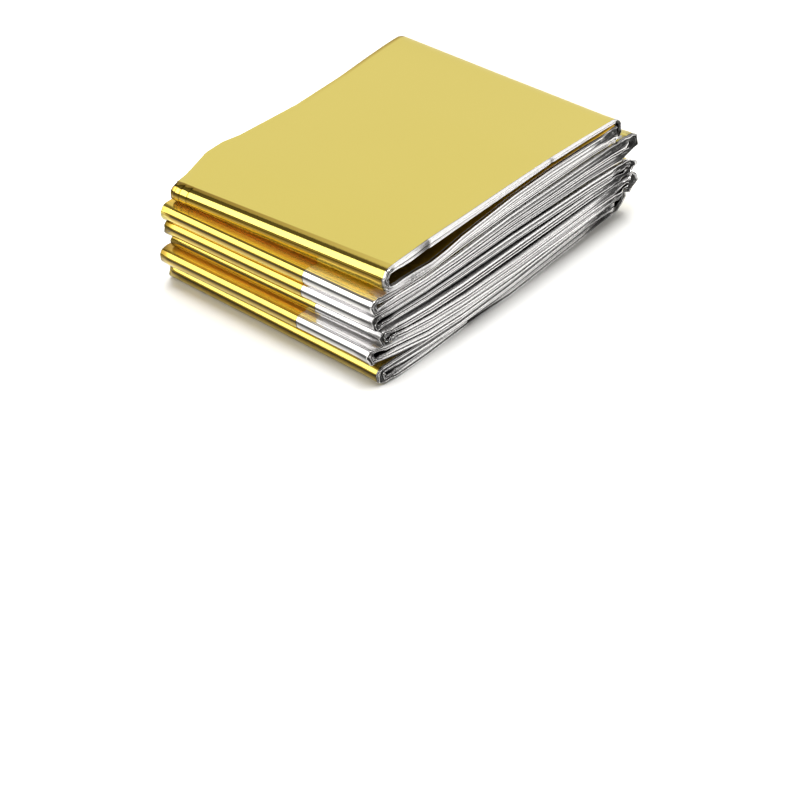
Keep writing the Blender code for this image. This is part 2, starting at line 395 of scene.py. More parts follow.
def smooth(values, along):
    """A height on the smooth line through the values at the five places."""
    last = len(PLACES) - 1
    index = max(number for number in range(last) if PLACES[number] <= max(0.0, along))
    slopes = []
    for number in (index, index + 1):
        before, after = max(number - 1, 0), min(number + 1, last)
        slopes.append((values[after] - values[before]) / (PLACES[after] - PLACES[before]))
    step = PLACES[index + 1] - PLACES[index]
    share = (along - PLACES[index]) / step
    rise = (values[index + 1] - values[index]) * share ** 2 * (3 - 2 * share)
    bend = share * (1 - share) * ((1 - share) * slopes[0] - share * slopes[1]) * step
    return values[index] + rise + bend


def layer_height(layer, along, across):
    """Height of a layer's middle, from along = 0 at the noses to 1 at the tails."""
    row = LAYERS[layer]
    return between(smooth(row.front, along), smooth(row.back, along), across)


def turn_reach(row, across):
    """How far along X a turn's outside reaches. Its waves run straight between the knots."""
    for left, right in zip(KNOTS, KNOTS[1:]):
        if across <= right or right == KNOTS[-1]:
            break
    share = (across - left) / (right - left)
    first, second = (
        sum(wave.strength * math.sin(wave.swing * knot + wave.shift * row.slide) for wave in WAVES)
        for knot in (left, right)
    )
    return between(row.front, row.back, across) + row.wave * (first + (second - first) * share)


def turn_centre(name, upper, lower, across, film):
    """Centre along X, centre height and half height of a turn of the strip's middle."""
    side = turn_side(name)
    along = (side + 1) / 2
    high = layer_height(upper, along, across)
    low = layer_height(lower, along, across)
    half = (high - low) / 2
    row = TURNS[name]
    centre = turn_reach(row, across) - side * row.length * (half + film.band / 2)
    return centre, (high + low) / 2, half


def bulge(layer, x, across):
    """How far a layer's edge stands out along Y at x."""
    out = 0.0
    for row in BULGES:
        if row.layer == layer:
            edge = -row.front if across < 0 else row.back
            out += edge * bell(x - row.at, row.spread) * across ** 2
    return out


def pinched(name, across, film):
    """How much of the pleats' thickness is pinched away in a turn."""
    if name is None:
        return 0.0
    row = PINCHES[name]
    from_front = (1 + across) * film.width / 2
    from_back = (1 - across) * film.width / 2
    front = (row.front - row.middle) * bell(from_front, PINCH_WIDTH)
    back = (row.back - row.middle) * bell(from_back, PINCH_WIDTH)
    return row.middle + front + back


def run_end(layer, name, neighbour, across, film):
    """Where a layer's flat run ends along X, and its slide there."""
    if name is None:
        row = FREE_ENDS[layer]
        return turn_reach(row, across), row.slide
    upper, lower = min(layer, neighbour), max(layer, neighbour)
    return turn_centre(name, upper, lower, across, film)[0], TURNS[name].slide


def outside_of(name, first, second):
    """Which face of the strip, -1 or 1, is outside in a turn from one layer to another."""
    return turn_side(name) * (1 if first < second else -1)


def front_spread(layer, along, up, film):
    """How far a layer's pleats spread up (1) or down (-1) at its front edge, as a factor."""
    neighbour = layer - up
    if min(layer, neighbour) <= 1 or neighbour > len(LAYERS):
        return 1 + FRONT_FAN
    room = abs(layer_height(layer, along, -1.0) - layer_height(neighbour, along, -1.0))
    most = 1 + FRONT_FAN + (MOST_SPREAD - 1 - FRONT_FAN) * min(1.0, along / SPREADS_BY)
    return FILLED * min(room / film.band, most)


class Run:
    """One flat layer of the strip, from the turn before it to the turn after it."""

    def __init__(self, index, film):
        self.film = film
        self.layer, self.after = ROUTE[index]
        self.heading = TAIL if index % 2 else NOSE
        self.before, self.previous, self.following = None, None, None
        if index > 0:
            self.previous, self.before = ROUTE[index - 1]
        if index + 1 < len(ROUTE):
            self.following = ROUTE[index + 1][0]
        self.outsides = [
            0 if self.before is None else outside_of(self.before, self.previous, self.layer),
            0 if self.after is None else outside_of(self.after, self.layer, self.following),
        ]

    def shares(self):
        """Where the run has rows of points: close together beside the turns."""
        start = run_end(self.layer, self.before, self.previous, 0.0, self.film)[0]
        end = run_end(self.layer, self.after, self.following, 0.0, self.film)[0]
        length = abs(end - start)
        first = [distance / length for distance in NEAR_TURN]
        last = [1 - share for share in reversed(first)]
        if self.before == "nose_1":
            first.insert(1, CREASE_WIDTH / length)
        places = [*ROWS_AT, *MORE_ROWS_AT.get(self.layer, ())]
        for kink in KINKS:
            if kink.layer == self.layer:
                places += [kink.x - KINK_LENGTH, kink.x, kink.x + KINK_LENGTH]
        middle = [(x - start) / (end - start) for x in places]
        return first + sorted(middle) + last

    def along(self, share):
        """How far a row lies from the noses to the tails, 0 to 1."""
        return share if self.heading == TAIL else 1 - share

    def place(self, share, across, face):
        """A point of the run: share along it, across its width, on its face -1 to 1."""
        film = self.film
        start, slide_in = run_end(self.layer, self.before, self.previous, across, film)
        end, slide_out = run_end(self.layer, self.after, self.following, across, film)
        x = start + (end - start) * share
        height = layer_height(self.layer, self.along(share), across)
        slide = slide_in + (slide_out - slide_in) * share
        y = across * film.width / 2 + slide + bulge(self.layer, x, across)
        if self.layer in FAN:
            free = start if self.before is None else end
            face *= 1 + FAN[self.layer] * bell(x - free, FAN_LENGTH)
        for name, outside, end_x in (
            (self.before, self.outsides[0], start),
            (self.after, self.outsides[1], end),
        ):
            if name is not None:
                length = LONG_PINCHES.get((self.layer, name), PINCH_LENGTH)
                amount = pinched(name, across, film) * bell(x - end_x, length)
                face += (outside - face) * amount
        return x, y, height + self.heading * face * film.band / 2


class Bend:
    """One turn of the strip, a nose or a tail, between two layers."""

    def __init__(self, index, film):
        self.film = film
        self.first, self.name = ROUTE[index]
        self.second = ROUTE[index + 1][0]
        self.side = turn_side(self.name)
        self.down = 1 if self.first < self.second else -1
        self.outside = outside_of(self.name, self.first, self.second)

    def shares(self):
        """Where the turn has rows of points, without its two ends."""
        if self.side == NOSE:
            angles = [crook.angle for crook in NOSE_SHAPE]
            if self.down < 0:
                angles = [180 - angle for angle in reversed(angles)]
            return [angle / 180 for angle in angles]
        steps = TAIL_STEPS.get(self.name, USUAL_TAIL_STEPS)
        return [step / steps for step in range(1, steps)]

    def crook(self, share):
        """The nose's shape at one of its rows, from its upper layer down."""
        angle = share * 180 if self.down > 0 else 180 - share * 180
        return min(NOSE_SHAPE, key=lambda crook: abs(crook.angle - angle))

    def place(self, share, across, face):
        """A point of the turn, as Run.place gives one. All its plies share one centre."""
        film = self.film
        upper, lower = min(self.first, self.second), max(self.first, self.second)
        centre, middle, half = turn_centre(self.name, upper, lower, across, film)
        row = TURNS[self.name]
        face += (self.outside - face) * pinched(self.name, across, film)
        radius = half + self.outside * face * film.band / 2
        out, high = math.sin(math.pi * share), self.down * math.cos(math.pi * share)
        if self.side == NOSE:
            crook = self.crook(share)
            pressed = between(*PRESSED.get(self.name, USUALLY_PRESSED), across)
            out += (crook.out - out) * pressed
            high += (crook.high - high) * pressed
        x = centre + self.side * row.length * radius * out
        z = middle + radius * high
        y = across * film.width / 2 + row.slide
        edge = bulge(self.first, x, across) * (1 - share) + bulge(self.second, x, across) * share
        return x, y + edge, z


# ---------------------------------------------------------------- the film's rows and columns

# A row of points lies at a share of one of the strip's pieces, and a column either at a depth
# under a fold at the front or back, side -1 or 1, or between the folds at a place across. Both
# have their place on the flat film
Row = namedtuple("Row", "piece share flat")
Column = namedtuple("Column", "ply fold side depth across face flat")

# What the materials know of a point, each from 0 to 1: how far it is crushed or a shrunken fold,
# where shade is painted in streaks and wrinkles, how much light is painted on it, how deep it lies
# in a gap, where a glow is painted, how much reflection of gold is painted on its silver, and how
# dull it is
Mark = namedtuple("Mark", "crushed leaf tone deep warm dull")


def film_rows(film):
    """The rows of points along the strip, each with its distance along the flat film."""
    rows = []
    flat = 0.0
    last = None
    for index in range(len(ROUTE)):
        pieces = [Run(index, film)]
        if ROUTE[index][1] is not None:
            pieces.append(Bend(index, film))
        for piece in pieces:
            for share in piece.shares():
                point = Vector(piece.place(share, 0.0, 0.0))
                if last is not None:
                    flat += (point - last).length
                last = point
                rows.append(Row(piece, share, flat))
    return rows


def ply_face(ply):
    """Where a ply lies between the strip's faces, 1 for the first ply's and -1."""
    return 1 - (2 * ply - 1) / PLIES


def middle_of(fold):
    """Where the middle of a fold lies between the strip's faces."""
    return 1 - 2 * fold / PLIES


def film_columns(film):
    """The columns of points across the film, from its first edge to its last."""
    columns = []
    half = film.width / 2

    def add(ply, fold, side, depth, across, face):
        heading = 1 if ply % 2 else -1
        place = side * (half - depth) if side else across * half
        flat = (ply - 1) * film.width + half + heading * place
        columns.append(Column(ply, fold, side, depth, across, face, flat))

    for ply in range(1, PLIES + 1):
        heading = 1 if ply % 2 else -1
        if ply == 1:
            add(1, 0, -1, 0.0, 0.0, ply_face(1))
            add(1, 0, -1, EDGE_STRIP, 0.0, ply_face(1))
        inside = COLUMNS.get(ply, USUAL_COLUMNS)
        for across in inside if heading == 1 else reversed(inside):
            add(ply, None, 0, 0.0, across, ply_face(ply))
        if ply == PLIES:
            add(ply, PLIES, 0, 0.0, 0.0, ply_face(ply))
            break
        section = BACK_SECTION if heading == 1 else FRONT_SECTION
        for number, (depth, offset) in enumerate(section):
            on_ply = ply if number < len(section) / 2 else ply + 1
            add(on_ply, ply, heading, depth, 0.0, middle_of(ply) + offset * 2 / PLIES)
    return columns


def edges_at(row):
    """Where the film's own two edges lie at a row."""
    piece = row.piece
    if isinstance(piece, Bend):
        return EDGES[piece.name]
    start, end = EDGES[piece.before or "start"], EDGES[piece.after or "end"]
    return Edges(*(a + (b - a) * row.share for a, b in zip(start, end)))


def painted_fold_light(column, row):
    """Painted light on a fold, 0 to 1: folds that lie deeper between others get painted shade."""
    if not column.side or column.fold in (0, PLIES):
        return 1.0
    in_layer = isinstance(row.piece, Run)
    on_top = in_layer and row.piece.layer == 1
    painted_levels = FIRST_LAYER_PAINTED_LIGHT if on_top else PAINTED_FOLD_LIGHT
    place = column.fold + (BACK_FOLDS if column.side > 0 else 0.0)
    group = Vector((place / (2 * FOLDS_TOGETHER), row.flat / GROUP_LENGTH, GROUP_SLICE))
    single = Vector((place * SINGLE_STEP, row.flat / SINGLE_LENGTH, SINGLE_SLICE))
    tone = painted_levels.usual + painted_levels.groups * noise.noise(group) + painted_levels.singles * noise.noise(single)
    if in_layer and not on_top:
        upper = middle_of(column.fold) * row.piece.heading
        tone += UPWARDS * upper - (LOWEST_SHADE if upper < LOWEST else 0.0)
    return min(1.0, max(DARKEST_FOLD, tone))


def flap_at(column, row, x):
    """How far a fold takes part in the crumpled ends of the layers, 0 to 1."""
    if column.side >= 0 or column.fold in (0, PLIES):
        return 0.0
    piece = row.piece
    face = middle_of(column.fold)
    if isinstance(piece, Bend):
        if piece.side == NOSE:
            return 0.0
        return ramp(abs(face - piece.outside), TAIL_SKIN, TAIL_EDGE)
    if piece.layer not in FLAPS:
        return 0.0
    start, end = FLAPS[piece.layer]
    middle, half = (start + end) / 2, (end - start) / 2
    wide = max(0.0, 1 - ((x - middle) / half) ** 2) ** 0.5
    return ramp(FLAP_HEIGHT * wide - abs(face), 0.0, FLAP_EDGE)


def kink_at(column, row, x):
    """How deep a kink in the front edge is at a place, in millimetres."""
    if column.side >= 0 or isinstance(row.piece, Bend):
        return 0.0
    return sum(
        kink.depth * max(0.0, 1 - abs(x - kink.x) / KINK_LENGTH)
        for kink in KINKS
        if kink.layer == row.piece.layer
    )


def setback(column, row, flap):
    """How far a fold stands back from the strip's edge, in millimetres."""
    face = middle_of(column.fold)
    rounding = ROUNDING * (1 - math.sqrt(max(0.0, 1 - face * face)))
    return rounding + SCATTER * (1 - painted_fold_light(column, row)) * (1 - flap) + FLAP_DEPTH * flap


def painted_inside_light(column, row):
    """Light painted on a place, 0 to 1: little under the first layer and in the noses."""
    piece = row.piece
    if isinstance(piece, Bend):
        depth = abs(column.face - piece.outside) * PLIES / 2
        if piece.side == TAIL or depth < NOSE_SKIN:
            return 1.0
        if column.side >= 0:
            return NOSE_DARK
        across, around, slice_at = SHIMMER_STEP
        shimmer = noise.noise(Vector((column.fold * across, around * row.share, slice_at)))
        return min(1.0, max(LEAST_NOSE_EDGE, NOSE_EDGE + SHIMMER * shimmer))
    along = piece.along(row.share)
    if piece.layer <= 2:
        light = min(1.0, WEDGE_DARK + WEDGE_GROWTH * along ** 2)
        return light if column.ply == PLIES else 1.0
    inner = column.ply <= 2 and not column.side
    return 1 - MOUTH_SHADE * bell(along, MOUTH_LENGTH) if inner else 1.0


def painted_crease_light(column, row):
    """How much light is painted along the creases of a nose's outside, where shade is painted."""
    piece = row.piece
    fading = between(CREASE_FRONT, 1.0, column.side or column.across)
    if isinstance(piece, Run) and piece.before == "nose_1" and row.share == 0.0:
        return 1.0 - NOSE_SHAPE[0].first * fading
    if not isinstance(piece, Bend) or piece.side == TAIL:
        return 1.0
    if column.side and 0 < column.fold < PLIES and column.depth < FOLD_TIP:
        return 1.0
    crook = piece.crook(row.share)
    if piece.name != "nose_1":
        return 1.0 - crook.dark
    return 1.0 - crook.first * (fading if crook is NOSE_SHAPE[0] else 1.0)


def painted_crimp_light(column, row):
    """How much light is painted on the outer ply along the crimps, where it is bent sharply."""
    crimped = isinstance(row.piece, Bend) and row.piece.name == CRIMPED_TURN
    return CRIMP_PAINTED_LIGHT if crimped and column.ply == 1 and column.across in CRIMPS else 1.0


def crimp_lift(column, row, y, half, crimped_at):
    """How far the outer ply is raised by the crimps, in millimetres."""
    if column.ply != 1:
        return 0.0
    near = bell(row.flat - crimped_at, CRIMP_LENGTH)
    return sum(
        height * ramp(y - across * half, 0.0, CRIMP_STEP) * near
        for across, height in CRIMPS.items()
    )


def crush_at(x, y, z):
    """How crushed the film is at a place, 0 to 1, and how far it is pushed there."""
    total = 0.0
    push = Vector((0.0, 0.0, 0.0))
    for row in CRUSHES:
        distance = ((x - row.x) / row.long) ** 2
        distance += ((y - row.y) / row.wide) ** 2
        distance += ((z - row.z) / row.high) ** 2
        if distance < CRUSH_REACH:
            strength = math.exp(-distance)
            total += strength
            place = Vector((x, y * ALONG_Y, z)) / row.grain
            push += noise.noise_vector(place) * (strength * row.push)
    return min(1.0, total), push


def gap_depth(x, y, z, half):
    """How deep a place lies in a gap between the noses, how much reflection of gold is painted
    on its silver, and how dull it is.
    """
    deep, warm, dull = 0.0, 0.0, 0.0
    for row in GAPS:
        height = between(row.front, row.back, y / half)
        inside = bell(x - row.x, row.long) * bell(z - height, row.high)
        deep += inside
        warm += inside * row.warm
        dull += inside * row.dull
    return min(1.0, deep), min(1.0, warm), min(1.0, dull)


def folded(row, across, face):
    """A point of the folded and crushed film, and how crushed it is there."""
    x, y, z = row.piece.place(row.share, across, face)
    crushed, push = crush_at(x, y, z)
    return Vector((x, y, z)) + push, crushed


def place_across(row, column, half):
    """Where a column lies across the strip, -1 to 1, and its flap and kink there."""
    if column.fold in RAGGED:
        edges, rough = edges_at(row), RAGGED[column.fold]
        ragged = rough.depth * noise.noise(Vector((row.flat / rough.length, *rough.slice)))
        if column.fold == PLIES:
            return 1 - 2 * edges.last + ragged / half, 0.0, 0.0
        return column.side * (1 - (edges.first + column.depth + ragged) / half), 0.0, 0.0
    if not column.side:
        return column.across, 0.0, 0.0
    x = row.piece.place(row.share, column.side, column.face)[0]
    flap = flap_at(column, row, x)
    kink = kink_at(column, row, x)
    stands_back = column.depth + setback(column, row, flap) + kink
    return column.side * (1 - stands_back / half), flap, kink


def raised_face(row, column, across, film, crimped_at):
    """Where a column lies between the strip's faces, with its pleats spread and its crimps."""
    half = film.width / 2
    at_front = max(0.0, (FAN_FROM - across) / (1 + FAN_FROM))
    spread = 1 + FRONT_FAN * at_front
    if isinstance(row.piece, Run):
        up = 1 if column.face * row.piece.heading > 0 else -1
        along = row.piece.along(row.share)
        spread = 1 + (front_spread(row.piece.layer, along, up, film) - 1) * at_front
    lift = crimp_lift(column, row, across * half, half, crimped_at)
    return column.face * spread + math.copysign(lift / (film.band / 2), column.face)


def straight_between(row, across, face):
    """A folded point. Between the knots inside the strip the film runs straight."""
    left = max(knot for knot in KNOTS[:-1] if knot <= across)
    right = min(knot for knot in KNOTS if knot > left)
    if left < KNOTS[1] or right == KNOTS[-1] or across == left:
        return folded(row, across, face)
    share = (across - left) / (right - left)
    first, crushed_first = folded(row, left, face)
    second, crushed_second = folded(row, right, face)
    return first.lerp(second, share), crushed_first + (crushed_second - crushed_first) * share


def film_point(row, column, film, crimped_at):
    """A point of the folded film in millimetres, and how it is marked."""
    half = film.width / 2
    across, flap, kink = place_across(row, column, half)
    face = raised_face(row, column, across, film, crimped_at)
    (x, y, z), crushed = straight_between(row, across, face)
    # Painted light and shade: on the folds, along creases, inside the noses, on shrunken parts, in
    # kinks and along crimps
    tone = painted_fold_light(column, row) * painted_crease_light(column, row) * painted_inside_light(column, row)
    tone = (tone + (1 - tone) * FLAP_RIM * flap * (1 - flap)) * (1 - FLAP_SHADE * flap * flap)
    tone *= (1 - min(MOST_KINK_SHADE, KINK_SHADE * kink)) * painted_crimp_light(column, row)
    deep, warm, dull = gap_depth(x, y, z, half)
    leaf = 0.0
    if column.side < 0 and 0 < column.fold < PLIES:
        warm = 0.0
        if x > MIDDLE_X:
            crushed, leaf = 0.0, flap * flap
    elif isinstance(row.piece, Run) and row.piece.layer <= 2 and column.ply == PLIES:
        # Painted glow of a gap on the wedge's inner film, which is dull too
        deep, dull = WEDGE_DEEP, 1.0
    return (x, y, max(film.thickness, z)), Mark(crushed, leaf, tone, deep, warm, dull)


def film_mesh(film):
    """The folded film as a mesh: a flat grid whose points are moved to the folds."""
    noise.seed_set(CRUMPLES)
    rows = film_rows(film)
    columns = film_columns(film)
    crimped_at = [
        row.flat
        for row in rows
        if isinstance(row.piece, Bend) and row.piece.name == CRIMPED_TURN
        and abs(row.share - 0.5) < NEAR_MIDDLE
    ][-1]
    shape = bmesh.new()
    flat_map = shape.loops.layers.uv.new("film")
    layers = [shape.verts.layers.float.new(name) for name in Mark._fields]
    bmesh.ops.create_grid(
        shape, x_segments=len(rows) - 1, y_segments=len(columns) - 1, size=1.0, calc_uvs=True
    )
    flats = {}
    for corner in shape.verts:
        row = rows[round((corner.co.x + 1) / 2 * (len(rows) - 1))]
        column = columns[round((corner.co.y + 1) / 2 * (len(columns) - 1))]
        (x, y, z), mark = film_point(row, column, film, crimped_at)
        for layer, value in zip(layers, mark):
            corner[layer] = value
        corner.co = ((x - MIDDLE_X) * MM, (y - MIDDLE_Y) * MM, z * MM)
        flats[corner] = (row.flat * MM, column.flat * MM)
    for edge in shape.edges:
        edge.smooth = not edge.is_boundary
    for face in shape.faces:
        face.smooth = True
        for loop in face.loops:
            loop[flat_map].uv = flats[loop.vert]
    mesh = bpy.data.meshes.new("foil_film")
    shape.to_mesh(mesh)
    shape.free()
    return mesh


# ---------------------------------------------------------------- materials

# Tints as factors of a side's own colour: the painted glow of the gold in the gaps between the
# noses, the richer gold where shade is painted, and the painted reflection of gold on the silver;
# and how far each side's mottling darkens it
PAINTED_GAP_GLOW = (1.30, 0.84, 0.14)
PAINTED_SHADE_GOLD = (1.0, 0.64, 0.06)
PAINTED_GOLD_ON_SILVER = (1.09, 0.95, 0.04)
PLAIN = (1.0, 1.0, 1.0)
GOLD_MOTTLE = 0.94
SILVER_MOTTLE = 0.95

# The film's patterns: how fine each is along the strip and across the film, and its detail
Grain = namedtuple("Grain", "along across detail")
FINE = Grain(240.0, 500.0, 2.0)
REEDS = Grain(1300.0, 15.0, 2.0)
STREAKS = Grain(1500.0, 260.0, 3.0)
WRINKLES = Grain(300.0, 2.6, 3.0)
MOTTLE_SCALE = 14.0
MOTTLE_DETAIL = 4.0

# Painted shade: how much of its colour the film keeps in the deepest folds, in the streaks of
# crushed film and in the wrinkles of shrunken folds, and between which of their values the last
# two set in
DARK_FOLD = 0.03
DARK_STREAK = 0.06
DARK_WRINKLE = 0.03
STREAK_STEP = (0.36, 0.52)
WRINKLE_STEP = (0.36, 0.46)

MOTTLED = 0.7            # how strongly the mottling shades the film
DULLED = 0.6             # how much less metallic dull film is
MOTTLE_ROUGHNESS = 0.05
CRUSHED_ROUGHNESS = 0.12

# The relief of the film, and how much each pattern adds to it
RELIEF = {"Strength": 0.3, "Distance": 0.0001}
FINE_RELIEF = 0.5
MOTTLE_RELIEF = 1.5
REED_RELIEF = 5

# The floor's mottling, and how much paler it gets
FLOOR_SCALE = 6.0
FLOOR_PALER = 1.03
FLOOR_ROUGHNESS = 0.7

# Where the Mix node has its sockets for a share, two colours and their blend
MIX_SHARE, MIX_FIRST, MIX_SECOND, MIX_BLEND = 0, 6, 7, 2


class Value:
    """A value in a material's nodes. Its operators add Math nodes."""

    def __init__(self, finish, socket):
        self.finish = finish
        self.socket = socket

    def maths(self, operation, first, second):
        return self.finish.node("ShaderNodeMath", {"operation": operation}, {0: first, 1: second})

    def __add__(self, other):
        return self.maths("ADD", self, other)

    __radd__ = __add__

    def __mul__(self, other):
        return self.maths("MULTIPLY", self, other)

    __rmul__ = __mul__

    def __sub__(self, other):
        return self.maths("SUBTRACT", self, other)

    def __rsub__(self, other):
        return self.maths("SUBTRACT", other, self)


class Finish:
    """One material and its nodes."""

    def __init__(self, name):
        self.material = bpy.data.materials.new(name)
        self.material.use_nodes = True
        self.tree = self.material.node_tree
        self.shader = self.tree.nodes["Principled BSDF"]

    def node(self, kind, settings, values, output=0):
        """Adds a node with its settings, feeds its sockets, and gives one of its outputs."""
        node = self.tree.nodes.new(kind)
        for name, value in settings.items():
            setattr(node, name, value)
        for name, value in values.items():
            self.feed(node.inputs[name], value)
        return Value(self, node.outputs[output])

    def feed(self, socket, value):
        """Links a value to a socket, or sets a number or colour on it."""
        if isinstance(value, Value):
            self.tree.links.new(value.socket, socket)
        else:
            socket.default_value = value

    def surface(self, **values):
        """Feeds the shader's sockets, named with underscores for spaces."""
        for name, value in values.items():
            self.feed(self.shader.inputs[name.replace("_", " ")], value)

    def noise(self, place, scale, detail):
        """A soft noise about 0.5."""
        values = {"Vector": place, "Scale": scale, "Detail": detail}
        return self.node("ShaderNodeTexNoise", {}, values)

    def stretched(self, place, scale):
        """The place with each of its axes scaled by its own number."""
        return self.node("ShaderNodeMapping", {}, {"Vector": place, "Scale": scale})

    def step(self, value, start, end):
        """0 where the value is below the start, 1 where it is above the end."""
        values = {"Value": value, "From Min": start, "From Max": end, "To Min": 0.0, "To Max": 1.0}
        return self.node("ShaderNodeMapRange", {"clamp": True}, values)

    def blend(self, share, first, second):
        """A colour between two."""
        values = {MIX_SHARE: share, MIX_FIRST: first, MIX_SECOND: second}
        return self.node("ShaderNodeMix", {"data_type": "RGBA"}, values, MIX_BLEND)


def film_finish(name, colour, roughness, shade, painted_shade_tint, painted_glows):
    """The metal side of the film: bright, faintly mottled, with fine creases.

    It is painted darker and richer in colour where painted shade marks it, and painted darker in
    the streaks of crushed film and the wrinkles of shrunken folds. Painted glows tint it where a
    mark says that it lies in the gaps between the noses: a glow of gold on the gold side, and a
    reflection of gold on the silver.
    """
    finish = Finish(name)
    flat = finish.node("ShaderNodeUVMap", {"uv_map": "film"}, {})
    marks = Mark(*(
        finish.node("ShaderNodeAttribute", {"attribute_name": mark}, {}, output="Fac")
        for mark in Mark._fields
    ))
    mottle = finish.noise(flat, MOTTLE_SCALE, MOTTLE_DETAIL)
    fine, reeds, streaks, wrinkles = (
        finish.noise(finish.stretched(flat, (grain.along, grain.across, 1.0)), 1.0, grain.detail)
        for grain in (FINE, REEDS, STREAKS, WRINKLES)
    )

    def tinted(shares):
        return tuple(part * share for part, share in zip(colour, shares)) + (1.0,)

    def dimmed(share):
        return tinted((share,) * 3)

    tint = finish.blend(MOTTLED * mottle, tinted(PLAIN), dimmed(shade))
    for mark, painted_glow in painted_glows.items():
        tint = finish.blend(getattr(marks, mark), tint, tinted(painted_glow))
    # Painted shade: where less light is painted, the colour is painted richer and darker
    dark = 1 - marks.tone
    tint = finish.blend(dark, tint, tinted(painted_shade_tint))
    tint = finish.blend(dark, tint, dimmed(DARK_FOLD))
    # Painted shade in the streaks of crushed film and the wrinkles of shrunken folds
    streaked = finish.step(streaks, *STREAK_STEP) * marks.crushed
    tint = finish.blend(streaked, tint, dimmed(DARK_STREAK))
    wrinkled = finish.step(wrinkles, *WRINKLE_STEP) * marks.leaf
    tint = finish.blend(wrinkled, tint, dimmed(DARK_WRINKLE))
    relief = FINE_RELIEF * fine + MOTTLE_RELIEF * mottle + REED_RELIEF * reeds * marks.deep
    finish.surface(
        Base_Color=tint,
        Metallic=1 - DULLED * marks.dull,
        Roughness=roughness + MOTTLE_ROUGHNESS * mottle + CRUSHED_ROUGHNESS * marks.crushed,
        Normal=finish.node("ShaderNodeBump", {}, {**RELIEF, "Height": relief}),
    )
    return finish.material


def floor_finish(colour):
    """Matt pale board, barely mottled."""
    finish = Finish("pale_board")
    place = finish.node("ShaderNodeTexCoord", {}, {}, output="Object")
    mottle = finish.noise(place, FLOOR_SCALE, MOTTLE_DETAIL)
    paler = tuple(min(1.0, part * FLOOR_PALER) for part in colour) + (1.0,)
    tint = finish.blend(mottle, colour + (1.0,), paler)
    finish.surface(Base_Color=tint, Roughness=FLOOR_ROUGHNESS)
    return finish.material


# ---------------------------------------------------------------- studio

# The soft boxes: the direction they stand in, as degrees round from +X and up from the floor,
# their half width and half height as shares of their distance, and how bright they look
SoftBox = namedtuple("SoftBox", "name around up wide high bright")
SOFT_BOXES = (
    SoftBox("back_box", 39.5, 24.5, 0.55, 0.445, 0.88),
    SoftBox("left_box", 138.8, 29.0, 0.50, 0.31, 2.7),
    SoftBox("right_box", -37.0, 35.0, 0.45, 0.26, 1.7),
    SoftBox("top_box", 0.0, 90.0, 0.40, 0.40, 8.0),
    SoftBox("tail_box", -8.0, 9.0, 0.36, 0.16, 1.5),
)
BOX_DISTANCE = 1.2
LIT_POINT = (0.0, 0.0, 0.02)     # what they all face
FLOOR_HALF = 4.0

# The camera looks this far round from +Y towards +X and down, in degrees. It stands off the
# pack's middle and aims below and beside it, so that the pack lies high in its picture
VIEW_AROUND = 50.5
VIEW_DOWN = 33.0
VIEW_POINT = (0.00066, 0.00199, 0.019)
AIM_BELOW = 0.0663
AIM_RIGHT = 0.0011
SENSOR = 36.0
NEAREST = 0.01
FURTHEST = 50.0


def direction(around, up):
    """The unit vector that points round from +X and up from the floor, in degrees."""
    around, up = math.radians(around), math.radians(up)
    return Vector((math.cos(around) * math.cos(up), math.sin(around) * math.cos(up), math.sin(up)))


def soft_box(row, centre):
    """An evenly bright rectangle that faces the centre."""
    light = bpy.data.lights.new(row.name, "AREA")
    light.shape = "RECTANGLE"
    light.size = 2 * row.wide * BOX_DISTANCE
    light.size_y = 2 * row.high * BOX_DISTANCE
    light.energy = math.pi * light.size * light.size_y * row.bright
    lamp = bpy.data.objects.new(row.name, light)
    out = direction(row.around, row.up)
    lamp.location = centre + out * BOX_DISTANCE
    lamp.rotation_euler = out.to_track_quat("Z", "Y").to_euler()
    bpy.context.scene.collection.objects.link(lamp)


def studio_camera(lens, distance):
    """The camera, with the pack in the upper part of its picture."""
    around, down = math.radians(VIEW_AROUND), math.radians(VIEW_DOWN)
    look = Vector((math.sin(around) * math.cos(down), math.cos(around) * math.cos(down),
                   -math.sin(down)))
    right = Vector((math.cos(around), -math.sin(around), 0.0))
    up = right.cross(look)
    middle = Vector(VIEW_POINT)
    target = middle - AIM_BELOW * up + AIM_RIGHT * right
    camera = bpy.data.objects.new("camera", bpy.data.cameras.new("camera"))
    camera.data.lens = lens
    camera.data.sensor_width = SENSOR
    camera.data.dof.use_dof = False
    camera.data.clip_start = NEAREST
    camera.data.clip_end = FURTHEST
    camera.location = middle - distance * look
    camera.rotation_euler = (target - camera.location).to_track_quat("-Z", "Y").to_euler()
    bpy.context.scene.collection.objects.link(camera)
    bpy.context.scene.camera = camera


# ---------------------------------------------------------------- settings, operators, panel


class FoilFilmSettings(bpy.types.PropertyGroup):
    """Sizes and colours of the film."""

    width: bpy.props.FloatProperty(
        name="Strip width", description="Width of the pleated strip", default=0.089,
        subtype="DISTANCE", unit="LENGTH",
    )
    band: bpy.props.FloatProperty(
        name="Pleat stack", description="Thickness of the pleats where they are pressed flat",
        default=0.0028, subtype="DISTANCE", unit="LENGTH",
    )
    thickness: bpy.props.FloatProperty(
        name="Film", description="Thickness the film is drawn with", default=0.00003,
        subtype="DISTANCE", unit="LENGTH", precision=6,
    )
    gold: bpy.props.FloatVectorProperty(
        name="Gold side", description="Colour of the gold side", default=(0.71, 0.59, 0.14),
        subtype="COLOR", size=3,
    )
    silver: bpy.props.FloatVectorProperty(
        name="Silver side", description="Colour of the silver side",
        default=(0.91, 0.90, 0.90), subtype="COLOR", size=3,
    )
    roughness: bpy.props.FloatProperty(
        name="Roughness", description="Roughness of the metal", default=0.10,
        subtype="FACTOR",
    )


